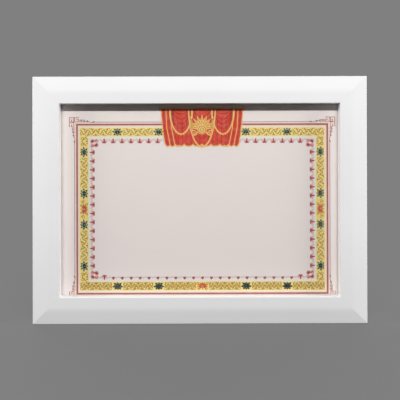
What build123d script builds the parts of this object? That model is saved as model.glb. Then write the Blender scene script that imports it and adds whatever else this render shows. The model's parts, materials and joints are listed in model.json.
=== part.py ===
from build123d import *
import math
import os

# Certificate frame: a white mitred moulding round a glazed A4 certificate.
# Millimetres. It stands upright on its bottom rail, the front faces -Y, +X is to the
# right seen from the front and +Z is up. The origin is the middle of the flat underside.

# Certificate, an A4 sheet lying on its side
SHEET_WIDTH = 297.0
SHEET_HEIGHT = 210.0
SHEET_THICKNESS = 0.3

# Glass, packing card and backing board, all cut to one size
INSERT_SIDE_MARGIN = 1.5
GLASS_THICKNESS = 2.0
CARD_THICKNESS = 2.7
BOARD_THICKNESS = 3.0
REBATE_CLEARANCE = 1.0

# Moulding: a flat band at the sight edge, a soft bend, then a face that falls to the rim
FACE_WIDTH = 28.0
LIP_WIDTH = 6.0
SIGHT_WALL_DEPTH = 12.0
BAND_WIDTH = 13.0
FACE_DROP = 2.0
BAND_BEND_RADIUS = 40.0
SIGHT_EDGE_RADIUS = 0.5
RIM_RADIUS = 0.8

# V nails, pressed in across each mitre from the back
NAIL_LEG = 5.0
NAIL_THICKNESS = 0.6
NAIL_DEPTH = 10.0
NAIL_MARGIN = 4.0

# Pan head screws
SHANK_RADIUS = 1.5
SHANK_TIP_LENGTH = 2.5
BUTTON_SCREW_LENGTH = 10.0
HANGER_SCREW_LENGTH = 12.0
HEAD_RADIUS = 3.0
HEAD_HEIGHT = 1.8
HEAD_ROUND_SHARE = 0.6
RECESS_LENGTH = 3.2
RECESS_WIDTH = 0.8
RECESS_DEPTH = 1.0

# Turn buttons that hold the backing board in
BUTTON_THICKNESS = 1.2
BUTTON_HEEL_RADIUS = 5.0
BUTTON_TIP_RADIUS = 3.5
BUTTON_TIP_DISTANCE = 10.0
BUTTON_SETBACK = 8.0
BUTTON_EDGE_RADIUS = 0.3
BUTTON_SPREAD_SHARE = 0.26
PIVOT_CLEARANCE = 0.05

# Hangers: a strap folded round the straight side of a wire ring
STRAP_WIDTH = 9.0
STRAP_LEAF_THICKNESS = 0.9
STRAP_NECK_LENGTH = 5.0
STRAP_END_LENGTH = 6.0
STRAP_HEAD_GAP = 3.0
STRAP_CORNER_RADIUS = 2.0
RING_WIRE_RADIUS = 1.0
RING_INNER_BEND = 1.0
RING_SIDE_PLAY = 0.5
RING_LEG = 4.0
RING_REST_GAP = 0.3
HANGER_HEIGHT_SHARE = 0.75

# Rubber bumpers that keep the lower edge off the wall
BUMPER_RADIUS = 4.5
BUMPER_HEIGHT = 3.0
BUMPER_ROUND_SHARE = 0.5
BUMPER_SPREAD_SHARE = 0.45

# How far a cutting shape runs past what it cuts
OVERRUN = 1.0

# Sizes that follow from those above
INSERT_WIDTH = SHEET_WIDTH + 2 * INSERT_SIDE_MARGIN
INSERT_HEIGHT = SHEET_HEIGHT
SIGHT_WIDTH = INSERT_WIDTH + 2 * (REBATE_CLEARANCE - LIP_WIDTH)
SIGHT_HEIGHT = INSERT_HEIGHT + 2 * (REBATE_CLEARANCE - LIP_WIDTH)
OUTER_HEIGHT = SIGHT_HEIGHT + 2 * FACE_WIDTH
REBATE_DEPTH = GLASS_THICKNESS + SHEET_THICKNESS + CARD_THICKNESS + BOARD_THICKNESS
BAND_DEPTH = SIGHT_WALL_DEPTH + REBATE_DEPTH
RIM_DEPTH = BAND_DEPTH - FACE_DROP
BACK_Y = RIM_DEPTH / 2
FRONT_Y = BACK_Y - BAND_DEPTH
LIP_BACK_Y = BACK_Y - REBATE_DEPTH
REBATE_FLOOR_Z = FACE_WIDTH - LIP_WIDTH
CENTRE = Vector(0, 0, OUTER_HEIGHT / 2)
BACKWARDS = Vector(0, 1, 0)

LOOP_BORE_RADIUS = RING_WIRE_RADIUS + PIVOT_CLEARANCE
LOOP_RADIUS = LOOP_BORE_RADIUS + STRAP_LEAF_THICKNESS
STRAP_THICKNESS = 2 * STRAP_LEAF_THICKNESS
RING_BEND_RADIUS = RING_INNER_BEND + RING_WIRE_RADIUS
RING_BAR_HALF = STRAP_WIDTH / 2 + RING_SIDE_PLAY
RING_BOW_RADIUS = RING_BAR_HALF + RING_BEND_RADIUS
RING_BOW_START = RING_BEND_RADIUS + RING_LEG
RING_REACH = RING_BOW_START + RING_BOW_RADIUS + RING_WIRE_RADIUS
STRAP_HOLE_DROP = RING_REACH + STRAP_HEAD_GAP + HEAD_RADIUS
STRAP_LENGTH = STRAP_HOLE_DROP + STRAP_END_LENGTH

# The ring hangs down and lies just off the strap, where its bow crosses the strap's edges
RING_CROSSING = RING_BOW_START + math.sqrt(RING_BOW_RADIUS**2 - (STRAP_WIDTH / 2) ** 2)
RING_LIFT = STRAP_THICKNESS + RING_REST_GAP + RING_WIRE_RADIUS - LOOP_RADIUS
RING_REST_TILT = math.asin(RING_LIFT / RING_CROSSING)

OUTWARD = {
    "top": Vector(0, 0, 1),
    "bottom": Vector(0, 0, -1),
    "left": Vector(-1, 0, 0),
    "right": Vector(1, 0, 0),
}


def rounded(section, corner, radius):
    """The section with its vertex nearest to the corner rounded."""
    return fillet(section.vertices().sort_by_distance(Vector(*corner))[:1], radius)


def moulding_section():
    """Section of the moulding: x outwards from the sight edge, y to the back."""
    sight_edge = (0, FRONT_Y)
    bend = (BAND_WIDTH, FRONT_Y)
    rim = (FACE_WIDTH, FRONT_Y + FACE_DROP)
    section = make_face(
        Polyline(
            sight_edge,
            bend,
            rim,
            (FACE_WIDTH, BACK_Y),
            (LIP_WIDTH, BACK_Y),
            (LIP_WIDTH, LIP_BACK_Y),
            (0, LIP_BACK_Y),
            close=True,
        )
    )
    section = rounded(section, sight_edge, SIGHT_EDGE_RADIUS)
    section = rounded(section, rim, RIM_RADIUS)
    return rounded(section, bend, BAND_BEND_RADIUS)


def sight_half_sizes(outward):
    """Half the sight opening in the outward direction, and half along the rail."""
    if outward.X:
        return SIGHT_WIDTH / 2, SIGHT_HEIGHT / 2
    return SIGHT_HEIGHT / 2, SIGHT_WIDTH / 2


def place_on_rail(outward, along_rail, from_sight_edge):
    """Point on the back of a rail, by its place along the rail and from the sight edge."""
    across = sight_half_sizes(outward)[0] + from_sight_edge
    return CENTRE + BACKWARDS * BACK_Y + outward * across + outward.cross(BACKWARDS) * along_rail


def mitred_rail(outward):
    """One rail of the moulding, cut off at both mitres."""
    across, along = sight_half_sizes(outward)
    run = outward.cross(BACKWARDS)
    half_length = along + FACE_WIDTH
    start = CENTRE + outward * across - run * half_length
    blank = extrude(
        Plane(origin=start, x_dir=outward, z_dir=run) * moulding_section(),
        amount=2 * half_length,
    )
    inner_edge = CENTRE + outward * across
    outer_edge = inner_edge + outward * FACE_WIDTH
    between_mitres = make_face(
        Polyline(
            inner_edge - run * along,
            inner_edge + run * along,
            outer_edge + run * half_length,
            outer_edge - run * half_length,
            close=True,
        )
    )
    keep = extrude(between_mitres, amount=BAND_DEPTH + OVERRUN, dir=BACKWARDS, both=True)
    return blank & keep


def v_nail(side, level, apex):
    """One V nail: its point lies on the mitre, and each leg lies in one rail."""
    corner = CENTRE + Vector(side * SIGHT_WIDTH / 2, BACK_Y, level * SIGHT_HEIGHT / 2)
    inner = apex + NAIL_THICKNESS
    tip = apex + NAIL_LEG
    outline = [(apex, apex), (tip, apex), (tip, inner), (inner, inner), (inner, tip), (apex, tip)]
    plan = make_face(
        Polyline(*[corner + Vector(side * x, 0, level * z) for x, z in outline], close=True)
    )
    return extrude(plan, amount=NAIL_DEPTH, dir=-BACKWARDS)


def corner_nails(side, level):
    """The two V nails of one corner, one near the rebate and one near the rim."""
    near_rebate = LIP_WIDTH + NAIL_MARGIN
    near_rim = FACE_WIDTH - NAIL_MARGIN - NAIL_LEG
    return [v_nail(side, level, apex) for apex in (near_rebate, near_rim)]


def insert(width, front_y, thickness):
    """A flat piece of the pack, standing on the floor of the bottom rail's rebate."""
    middle = Vector(0, front_y + thickness / 2, REBATE_FLOOR_Z + INSERT_HEIGHT / 2)
    return Pos(middle) * Box(width, thickness, INSERT_HEIGHT)


def insert_pack():
    """Glass, certificate, packing card and backing board, from front to back."""
    layers = [
        ("glass_pane", INSERT_WIDTH, GLASS_THICKNESS),
        ("certificate_sheet", SHEET_WIDTH, SHEET_THICKNESS),
        ("packing_card", INSERT_WIDTH, CARD_THICKNESS),
        ("backing_board", INSERT_WIDTH, BOARD_THICKNESS),
    ]
    pack = {}
    front_y = LIP_BACK_Y
    for name, width, thickness in layers:
        pack[name] = insert(width, front_y, thickness)
        front_y += thickness
    return pack


def screw_shank(length):
    """Shank of a screw, pointing down from the underside of its head."""
    point = Pos(0, 0, -length) * Cone(
        0, SHANK_RADIUS, SHANK_TIP_LENGTH, align=(Align.CENTER, Align.CENTER, Align.MIN)
    )
    return point + Cylinder(
        SHANK_RADIUS, length - SHANK_TIP_LENGTH, align=(Align.CENTER, Align.CENTER, Align.MAX)
    )


def screw_head():
    """Rounded pan head with a cross recess."""
    head = Cylinder(HEAD_RADIUS, HEAD_HEIGHT, align=(Align.CENTER, Align.CENTER, Align.MIN))
    rim = head.edges().filter_by(GeomType.CIRCLE).sort_by(Axis.Z)[-1:]
    head = fillet(rim, HEAD_HEIGHT * HEAD_ROUND_SHARE)
    slot = Box(
        RECESS_LENGTH,
        RECESS_WIDTH,
        RECESS_DEPTH + OVERRUN,
        align=(Align.CENTER, Align.CENTER, Align.MIN),
    )
    slot = Pos(0, 0, HEAD_HEIGHT - RECESS_DEPTH) * slot
    return head - slot - Rot(0, 0, 90) * slot


def screw_place(point, under_head):
    """Where a screw goes: upright on the back face, its head resting at under_head."""
    return Plane(origin=point + BACKWARDS * under_head, x_dir=(1, 0, 0), z_dir=BACKWARDS)


def turn_button(pivot, inwards):
    """Flat teardrop plate that turns about its screw and laps over the backing board."""
    heel = Circle(BUTTON_HEEL_RADIUS)
    tip = Pos(BUTTON_TIP_DISTANCE, 0) * Circle(BUTTON_TIP_RADIUS)
    plate = extrude(make_hull(heel.edges() + tip.edges()), amount=BUTTON_THICKNESS)
    plate = fillet(plate.edges().group_by(Axis.Z)[-1], BUTTON_EDGE_RADIUS)
    plate -= Cylinder(SHANK_RADIUS + PIVOT_CLEARANCE, 2 * (BUTTON_THICKNESS + OVERRUN))
    return Plane(origin=pivot, x_dir=inwards, z_dir=BACKWARDS) * plate


def button_places():
    """Name, rail and pivot point of each turn button."""
    from_sight = LIP_WIDTH + BUTTON_SETBACK
    spread = SIGHT_WIDTH * BUTTON_SPREAD_SHARE
    places = []
    for rail in ("top", "bottom"):
        for name, side in (("left", -1), ("right", 1)):
            along = side * spread * OUTWARD[rail].cross(BACKWARDS).X
            places.append((f"{rail}_{name}", rail, place_on_rail(OUTWARD[rail], along, from_sight)))
    for rail in ("left", "right"):
        places.append((f"{rail}_side", rail, place_on_rail(OUTWARD[rail], 0, from_sight)))
    return places


def hanger_axis(side):
    """Middle of the ring's straight side, in the loop of the strap."""
    across = side * (SIGHT_WIDTH / 2 + (LIP_WIDTH + FACE_WIDTH) / 2)
    return Vector(across, BACK_Y + LOOP_RADIUS, OUTER_HEIGHT * HANGER_HEIGHT_SHARE)


def hanger_screw_point(side):
    """Point on the back of the rail where the strap's screw goes in."""
    axis = hanger_axis(side)
    return Vector(axis.X, BACK_Y, axis.Z - STRAP_HOLE_DROP)


def hanger_strap(side):
    """Strap of two leaves, folded into a loop at the top and held by one screw."""
    axis = hanger_axis(side)
    loop = Pos(0, LOOP_RADIUS) * Circle(LOOP_RADIUS)
    low = (Align.MIN, Align.MIN)
    leaves = Pos(STRAP_NECK_LENGTH, 0) * Rectangle(
        STRAP_LENGTH - STRAP_NECK_LENGTH, STRAP_THICKNESS, align=low
    )
    neck = make_hull(loop.edges() + leaves.edges().sort_by(Axis.X)[:1])
    section = neck + leaves - Pos(0, LOOP_RADIUS) * Circle(LOOP_BORE_RADIUS)
    start = Vector(axis.X - STRAP_WIDTH / 2, BACK_Y, axis.Z)
    strap = extrude(
        Plane(origin=start, x_dir=(0, 0, -1), z_dir=(1, 0, 0)) * section, amount=STRAP_WIDTH
    )
    lower_corners = strap.edges().filter_by(Axis.Y).group_by(Axis.Z)[0]
    strap = fillet(lower_corners, STRAP_CORNER_RADIUS)
    hole = Cylinder(SHANK_RADIUS, 2 * (STRAP_THICKNESS + OVERRUN))
    return strap - screw_place(hanger_screw_point(side), 0) * hole


def hanger_ring(side):
    """Wire ring: a straight side in the loop, two bends, short legs and a round bow."""
    bar_end = RING_BAR_HALF
    leg = RING_BOW_RADIUS
    bow_start = RING_BOW_START
    bend = RING_BEND_RADIUS * (1 - math.sqrt(0.5))
    half = Curve() + [
        Line((0, 0), (bar_end, 0)),
        ThreePointArc((bar_end, 0), (leg - bend, bend), (leg, RING_BEND_RADIUS)),
        Line((leg, RING_BEND_RADIUS), (leg, bow_start)),
        ThreePointArc(
            (leg, bow_start),
            (leg * math.sqrt(0.5), bow_start + leg * math.sqrt(0.5)),
            (0, bow_start + leg),
        ),
    ]
    half_ring = sweep(Plane.YZ * Circle(RING_WIRE_RADIUS), path=half)
    ring = half_ring + mirror(half_ring, about=Plane.YZ)
    outwards = (0, math.cos(RING_REST_TILT), math.sin(RING_REST_TILT))
    return Plane(origin=hanger_axis(side), x_dir=(1, 0, 0), z_dir=outwards) * ring


def wall_bumper(side):
    """Round rubber pad on the back of the bottom rail."""
    pad = Cylinder(BUMPER_RADIUS, BUMPER_HEIGHT, align=(Align.CENTER, Align.CENTER, Align.MIN))
    rim = pad.edges().filter_by(GeomType.CIRCLE).sort_by(Axis.Z)[-1:]
    pad = fillet(rim, BUMPER_HEIGHT * BUMPER_ROUND_SHARE)
    point = place_on_rail(
        OUTWARD["bottom"], side * SIGHT_WIDTH * BUMPER_SPREAD_SHARE, (LIP_WIDTH + FACE_WIDTH) / 2
    )
    return Plane(origin=point, x_dir=(1, 0, 0), z_dir=BACKWARDS) * pad


def build():
    """Every piece by its name. Nails and screws first, because the rails are cut by them."""
    pieces = {}
    cutters = {rail: [] for rail in OUTWARD}

    for level_name, level in (("top", 1), ("bottom", -1)):
        for side_name, side in (("left", -1), ("right", 1)):
            nails = corner_nails(side, level)
            pieces[f"v_nails_{level_name}_{side_name}"] = Compound(children=nails)
            cutters[level_name] += nails
            cutters[side_name] += nails

    for name, rail, pivot in button_places():
        at = screw_place(pivot, BUTTON_THICKNESS)
        shank = at * screw_shank(BUTTON_SCREW_LENGTH)
        pieces[f"turn_button_{name}"] = turn_button(pivot, -OUTWARD[rail])
        pieces[f"button_screw_{name}"] = shank + at * screw_head()
        cutters[rail].append(shank)

    for name, side in (("left", -1), ("right", 1)):
        at = screw_place(hanger_screw_point(side), STRAP_THICKNESS)
        shank = at * screw_shank(HANGER_SCREW_LENGTH)
        pieces[f"hanger_strap_{name}"] = hanger_strap(side)
        pieces[f"hanger_ring_{name}"] = hanger_ring(side)
        pieces[f"hanger_screw_{name}"] = shank + at * screw_head()
        pieces[f"wall_bumper_{name}"] = wall_bumper(side)
        cutters[name].append(shank)

    for rail, outward in OUTWARD.items():
        solid = mitred_rail(outward)
        for cutter in cutters[rail]:
            solid -= cutter
        pieces[f"{rail}_rail"] = solid

    pieces.update(insert_pack())
    return pieces


os.makedirs("parts", exist_ok=True)
for piece_name, piece in build().items():
    export_step(piece, f"parts/{piece_name}.step")
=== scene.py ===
"""Certificate frame: finishes, printed sheet and studio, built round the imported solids."""

import json
import logging
import math
from collections import Counter, defaultdict
from dataclasses import dataclass
from enum import Enum
from typing import Any

import bmesh
import bpy
from mathutils import Matrix, Vector

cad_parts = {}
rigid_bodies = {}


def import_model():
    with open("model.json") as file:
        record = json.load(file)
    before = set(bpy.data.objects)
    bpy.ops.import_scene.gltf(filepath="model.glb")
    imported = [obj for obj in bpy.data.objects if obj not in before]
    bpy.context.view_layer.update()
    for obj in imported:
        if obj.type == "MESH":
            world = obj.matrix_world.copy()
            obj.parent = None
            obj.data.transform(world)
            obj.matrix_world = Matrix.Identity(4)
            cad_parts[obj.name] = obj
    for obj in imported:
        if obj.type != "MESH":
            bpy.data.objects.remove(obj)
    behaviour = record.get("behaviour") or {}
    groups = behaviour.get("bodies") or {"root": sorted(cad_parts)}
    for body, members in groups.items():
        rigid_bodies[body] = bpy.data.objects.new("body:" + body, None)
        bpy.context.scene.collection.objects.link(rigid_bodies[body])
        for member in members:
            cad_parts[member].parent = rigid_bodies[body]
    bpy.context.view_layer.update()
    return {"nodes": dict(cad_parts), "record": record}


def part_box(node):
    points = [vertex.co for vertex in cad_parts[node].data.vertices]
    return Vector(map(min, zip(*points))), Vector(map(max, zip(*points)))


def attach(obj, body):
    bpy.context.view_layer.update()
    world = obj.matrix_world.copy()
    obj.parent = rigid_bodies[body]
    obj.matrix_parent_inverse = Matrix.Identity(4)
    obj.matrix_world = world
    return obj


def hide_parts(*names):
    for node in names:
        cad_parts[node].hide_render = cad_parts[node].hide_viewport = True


MM = 0.001
BODY = "frame"
BACKDROP = "#808080"

Point = tuple[float, float]
Triple = tuple[float, float, float]
Inputs = dict[str | int, Any]
Tree = bpy.types.NodeTree
Node = bpy.types.Node
Socket = bpy.types.NodeSocket

log = logging.getLogger("certificate_frame")


def to_linear(code: str) -> tuple[float, float, float, float]:
    """Turn an sRGB hex value into the linear colour that the shaders take.

    Args:
        code: a colour such as #F2F2F0.

    Returns:
        Linear red, green and blue, and an alpha of 1.
    """
    shares = [int(code[i : i + 2], 16) / 255 for i in (1, 3, 5)]
    linear = [s / 12.92 if s <= 0.04045 else ((s + 0.055) / 1.055) ** 2.4 for s in shares]
    return (*linear, 1.0)


def grain(size_mm: float) -> float:
    """Texture scale at which a pattern repeats about every size_mm millimetres."""
    return 1 / (size_mm * MM)


def add_node(tree: Tree, kind: str, inputs: Inputs | None = None, **settings: Any) -> Node:
    """Add a shader node, with its settings, its constant inputs and its links.

    Args:
        tree: the material's or world's node tree.
        kind: the node's type name after ShaderNode.
        inputs: by name or number of the input, its number or vector, its colour as an sRGB hex
            value, or what is linked to it: an output, or a node for that node's first output.
        settings: the node's own properties.

    Returns:
        The new node.
    """
    node = tree.nodes.new("ShaderNode" + kind)
    for name, value in settings.items():
        setattr(node, name, value)
    for key, value in (inputs or {}).items():
        if isinstance(value, Node):
            value = value.outputs[0]
        if isinstance(value, Socket):
            tree.links.new(value, node.inputs[key])
        else:
            node.inputs[key].default_value = to_linear(value) if isinstance(value, str) else value
    return node


def seen_ray(tree: Tree) -> Node:
    """Add nodes that give 1 for rays of the camera, of mirrors and of glass, and 0 for others.

    Args:
        tree: the material's or world's node tree.

    Returns:
        The node that gives the number.
    """
    path = add_node(tree, "LightPath").outputs
    seen = path["Is Camera Ray"]
    for name in ("Is Glossy Ray", "Is Transmission Ray"):
        seen = add_node(tree, "Math", {0: seen, 1: path[name]}, operation="MAXIMUM")
    return seen


@dataclass(frozen=True)
class Finish:
    """A surface: what it is made of, and how it was made."""

    name: str
    colour: str
    roughness: float
    metallic: float = 0.0
    shine: float = 0.5

    def material(self) -> bpy.types.Material:
        """Give the finish as a material, which is made the first time it is asked for.

        Returns:
            The material.
        """
        made = bpy.data.materials.get(self.name)
        if made is None:
            made = bpy.data.materials.new(self.name)
            made.use_nodes = True
            tree = made.node_tree
            tree.nodes.clear()
            place = add_node(tree, "TexCoord").outputs["Object"]
            add_node(tree, "OutputMaterial", {"Surface": self.surface(tree, place)})
        return made

    def surface(self, tree: Tree, place: Socket) -> Node:
        """Build the shader.

        Args:
            tree: the material's node tree.
            place: Object coordinates, in metres.

        Returns:
            The node that gives the surface.
        """
        plain = {
            "Base Color": self.colour,
            "Roughness": self.roughness,
            "Metallic": self.metallic,
            "Specular IOR Level": self.shine,
        }
        return add_node(tree, "BsdfPrincipled", plain | self.pattern(tree, place))

    def pattern(self, tree: Tree, place: Socket) -> Inputs:
        """Give the shader's inputs that vary over the surface. A plain finish has none."""
        return {}


@dataclass(frozen=True)
class FoiledMoulding(Finish):
    """Satin white PVC foil wrapped round an extruded polystyrene foam moulding.

    The foil gives a soft sheen over a faint orange peel. It ends in a narrow turn on the back,
    where the raw off-white foam shows its pores. A hairline of glue shows at each mitre.
    """

    name: str = "white_foiled_moulding"
    colour: str = "#F3F3F3"
    roughness: float = 0.5
    shine: float = 0.35
    shade_colour: str = "#ECECED"
    seam_colour: str = "#E3E2DF"
    core_colour: str = "#E4DFD3"
    pore_colour: str = "#B9B2A2"
    core_roughness: float = 0.9
    cloud_mm: float = 70.0
    orange_peel_mm: float = 0.9
    # Real pores are finer. These are as coarse as they need to be to show
    pore_mm: float = 1.1
    pore_rim: Point = (0.1, 0.5)
    relief_mm: float = 0.03
    relief_strength: float = 0.35
    seam_half_mm: float = 0.12
    turn_mm: float = 5.0
    back_margin_mm: float = 0.05
    centre_z: float = 0.0
    sight_difference: float = 0.0
    outer_halves: Point = (0.0, 0.0)
    back_y: float = 0.0

    def pattern(self, tree: Tree, place: Socket) -> Inputs:
        """Lay the foil, the mitre hairlines and the bare foam of the back.

        Args:
            tree: the material's node tree.
            place: Object coordinates, in metres.

        Returns:
            The shader's inputs for colour, gloss and relief.
        """
        centre = (0.0, 0.0, self.centre_z)
        centred = add_node(tree, "VectorMath", {0: place, 1: centre}, operation="SUBTRACT")
        folded = add_node(tree, "VectorMath", {0: centred}, operation="ABSOLUTE")
        across = add_node(tree, "SeparateXYZ", {0: folded}).outputs
        depth = add_node(tree, "SeparateXYZ", {0: place}).outputs["Y"]

        clouds = add_node(
            tree, "TexNoise", {"Vector": place, "Scale": grain(self.cloud_mm), "Detail": 2.0}
        )
        foil = add_node(
            tree, "MixRGB", {"Fac": clouds, "Color1": self.colour, "Color2": self.shade_colour}
        )
        slant = add_node(tree, "Math", {0: across["X"], 1: across["Z"]}, operation="SUBTRACT")
        hairline = {0: slant, 1: self.sight_difference, 2: self.seam_half_mm * MM}
        seam = add_node(tree, "Math", hairline, operation="COMPARE")
        mitred = add_node(tree, "MixRGB", {"Fac": seam, "Color1": foil, "Color2": self.seam_colour})

        pores = add_node(tree, "TexVoronoi", {"Vector": place, "Scale": grain(self.pore_mm)})
        deep, flush = self.pore_rim
        solid = add_node(tree, "MapRange", {"Value": pores, "From Min": deep, "From Max": flush})
        core = add_node(
            tree, "MixRGB", {"Fac": solid, "Color1": self.pore_colour, "Color2": self.core_colour}
        )
        back = self.back_y - self.back_margin_mm * MM
        bare = add_node(tree, "Math", {0: depth, 1: back}, operation="GREATER_THAN")
        for axis, half in zip("XZ", self.outer_halves):
            edge = half - self.turn_mm * MM
            inside = add_node(tree, "Math", {0: across[axis], 1: edge}, operation="LESS_THAN")
            bare = add_node(tree, "Math", {0: bare, 1: inside}, operation="MULTIPLY")

        peel = add_node(
            tree, "TexNoise", {"Vector": place, "Scale": grain(self.orange_peel_mm), "Detail": 2.0}
        )
        height = add_node(tree, "Math", {0: solid, 1: bare, 2: peel}, operation="MULTIPLY_ADD")
        relief = {
            "Strength": self.relief_strength,
            "Distance": self.relief_mm * MM,
            "Height": height,
        }
        gloss = {"Value": bare, "To Min": self.roughness, "To Max": self.core_roughness}
        return {
            "Base Color": add_node(tree, "MixRGB", {"Fac": bare, "Color1": mitred, "Color2": core}),
            "Roughness": add_node(tree, "MapRange", gloss),
            "Normal": add_node(tree, "Bump", relief),
        }


@dataclass(frozen=True)
class PictureGlass(Finish):
    """Clear low-reflection picture glass: hard, polished and almost colourless.

    Its coated faces mirror less than those of plain float glass.
    """

    name: str = "clear_picture_glass"
    colour: str = "#FFFFFF"
    roughness: float = 0.02
    metallic: float = 1.0
    tint: str = "#FEFEFE"
    mirror_share: float = 0.017
    glancing_power: float = 5.0

    def surface(self, tree: Tree, place: Socket) -> Node:
        """Mix clear sight through the pane with the mirror of its faces, by the angle.

        The mirror grows steeply towards a glancing look, alike on both faces.

        Args:
            tree: the material's node tree.
            place: Object coordinates, in metres.

        Returns:
            The node that gives the surface.
        """
        polish = {"Base Color": self.colour, "Roughness": self.roughness, "Metallic": self.metallic}
        mirror = add_node(tree, "BsdfPrincipled", polish)
        clear = add_node(tree, "BsdfTransparent", {"Color": self.tint})
        slant = add_node(tree, "LayerWeight", {"Blend": 0.5}).outputs["Facing"]
        glancing = add_node(tree, "Math", {0: slant, 1: self.glancing_power}, operation="POWER")
        growth = {0: glancing, 1: 1 - self.mirror_share, 2: self.mirror_share}
        share = add_node(tree, "Math", growth, operation="MULTIPLY_ADD")
        return add_node(tree, "MixShader", {0: share, 1: clear, 2: mirror})


@dataclass(frozen=True)
class CertificatePaper(Finish):
    """Uncoated offset paper, calendered smooth: an even off-white with fine fibres."""

    name: str = "uncoated_offset_paper"
    colour: str = "#FAF0ED"
    roughness: float = 0.85
    shine: float = 0.15
    warm_colour: str = "#FBF1E7"
    fibre_colour: str = "#F1E7E3"
    cloud_mm: float = 120.0
    cloud_edge: Point = (0.35, 0.75)
    most_warmth: float = 0.6
    # Single fibres are too fine to show, so these are clumps of them
    fibre_mm: float = 0.5
    fibre_edge: Point = (0.55, 0.8)
    most_fibres: float = 0.35
    relief_mm: float = 0.01
    relief_strength: float = 0.3

    def pattern(self, tree: Tree, place: Socket) -> Inputs:
        """Add slow warmer clouds over the sheet, and the fibres with their slight relief.

        Args:
            tree: the material's node tree.
            place: Object coordinates, in metres.

        Returns:
            The shader's inputs for colour and relief.
        """
        clouds = add_node(
            tree, "TexNoise", {"Vector": place, "Scale": grain(self.cloud_mm), "Detail": 1.0}
        )
        fibres = add_node(
            tree, "TexNoise", {"Vector": place, "Scale": grain(self.fibre_mm), "Detail": 4.0}
        )
        colour = self.colour
        for noise, (low, high), most, tone in (
            (clouds, self.cloud_edge, self.most_warmth, self.warm_colour),
            (fibres, self.fibre_edge, self.most_fibres, self.fibre_colour),
        ):
            edge = {"Value": noise, "From Min": low, "From Max": high, "To Max": most}
            share = add_node(tree, "MapRange", edge)
            colour = add_node(tree, "MixRGB", {"Fac": share, "Color1": colour, "Color2": tone})
        relief = {
            "Strength": self.relief_strength,
            "Distance": self.relief_mm * MM,
            "Height": fibres,
        }
        return {"Base Color": colour, "Normal": add_node(tree, "Bump", relief)}


@dataclass(frozen=True)
class PrintingInk(Finish):
    """Offset ink on uncoated paper: flat and matt, a little thin where the fibres stand up."""

    roughness: float = 0.7
    shine: float = 0.15
    paper_colour: str = CertificatePaper.colour
    # Clumps of fibres, as on the bare paper
    fibre_mm: float = 0.45
    cloud_mm: float = 4.0
    thin_edge: Point = (0.95, 1.5)
    most_show_through: float = 0.16

    def pattern(self, tree: Tree, place: Socket) -> Inputs:
        """Let the paper's fibres show through the ink, more so in slow clouds.

        Args:
            tree: the material's node tree.
            place: Object coordinates, in metres.

        Returns:
            The shader's input for colour.
        """
        fibres = add_node(
            tree, "TexNoise", {"Vector": place, "Scale": grain(self.fibre_mm), "Detail": 3.0}
        )
        clouds = add_node(
            tree, "TexNoise", {"Vector": place, "Scale": grain(self.cloud_mm), "Detail": 1.0}
        )
        both = add_node(tree, "Math", {0: fibres, 1: clouds}, operation="ADD")
        low, high = self.thin_edge
        edge = {"Value": both, "From Min": low, "From Max": high, "To Max": self.most_show_through}
        thin = add_node(tree, "MapRange", edge)
        mix = {"Fac": thin, "Color1": self.colour, "Color2": self.paper_colour}
        return {"Base Color": add_node(tree, "MixRGB", mix)}


@dataclass(frozen=True)
class Speckled(Finish):
    """A surface of two mixed tones in a fine grain, with the relief of that grain."""

    second_colour: str = "#808080"
    grain_mm: float = 1.0
    cloud_mm: float = 30.0
    cloud_share: float = 1.0
    relief_mm: float = 0.03
    relief_strength: float = 0.5
    stretch: Triple = (1.0, 1.0, 1.0)
    mix_reach: float = 0.25
    gloss_edge: Point = (0.3, 0.7)
    roughness_spread: float = 0.08

    def pattern(self, tree: Tree, place: Socket) -> Inputs:
        """Mix the two tones by the grain and by slow clouds, and raise the grain.

        Args:
            tree: the material's node tree.
            place: Object coordinates, in metres.

        Returns:
            The shader's inputs for colour, gloss and relief.
        """
        lie = add_node(tree, "Mapping", {"Vector": place, "Scale": self.stretch})
        speckle = {"Vector": lie, "Scale": grain(self.grain_mm), "Detail": 5.0, "Roughness": 0.7}
        fine = add_node(tree, "TexNoise", speckle)
        clouds = add_node(
            tree, "TexNoise", {"Vector": place, "Scale": grain(self.cloud_mm), "Detail": 2.0}
        )
        sums = {0: clouds, 1: self.cloud_share, 2: fine}
        both = add_node(tree, "Math", sums, operation="MULTIPLY_ADD")
        middle = (1 + self.cloud_share) / 2
        low, high = middle - self.mix_reach, middle + self.mix_reach
        share = add_node(tree, "MapRange", {"Value": both, "From Min": low, "From Max": high})
        mix = {"Fac": share, "Color1": self.colour, "Color2": self.second_colour}
        gloss = {
            "Value": clouds,
            "From Min": self.gloss_edge[0],
            "From Max": self.gloss_edge[1],
            "To Min": self.roughness - self.roughness_spread,
            "To Max": self.roughness + self.roughness_spread,
        }
        relief = {
            "Strength": self.relief_strength,
            "Distance": self.relief_mm * MM,
            "Height": fine,
        }
        return {
            "Base Color": add_node(tree, "MixRGB", mix),
            "Roughness": add_node(tree, "MapRange", gloss),
            "Normal": add_node(tree, "Bump", relief),
        }


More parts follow.
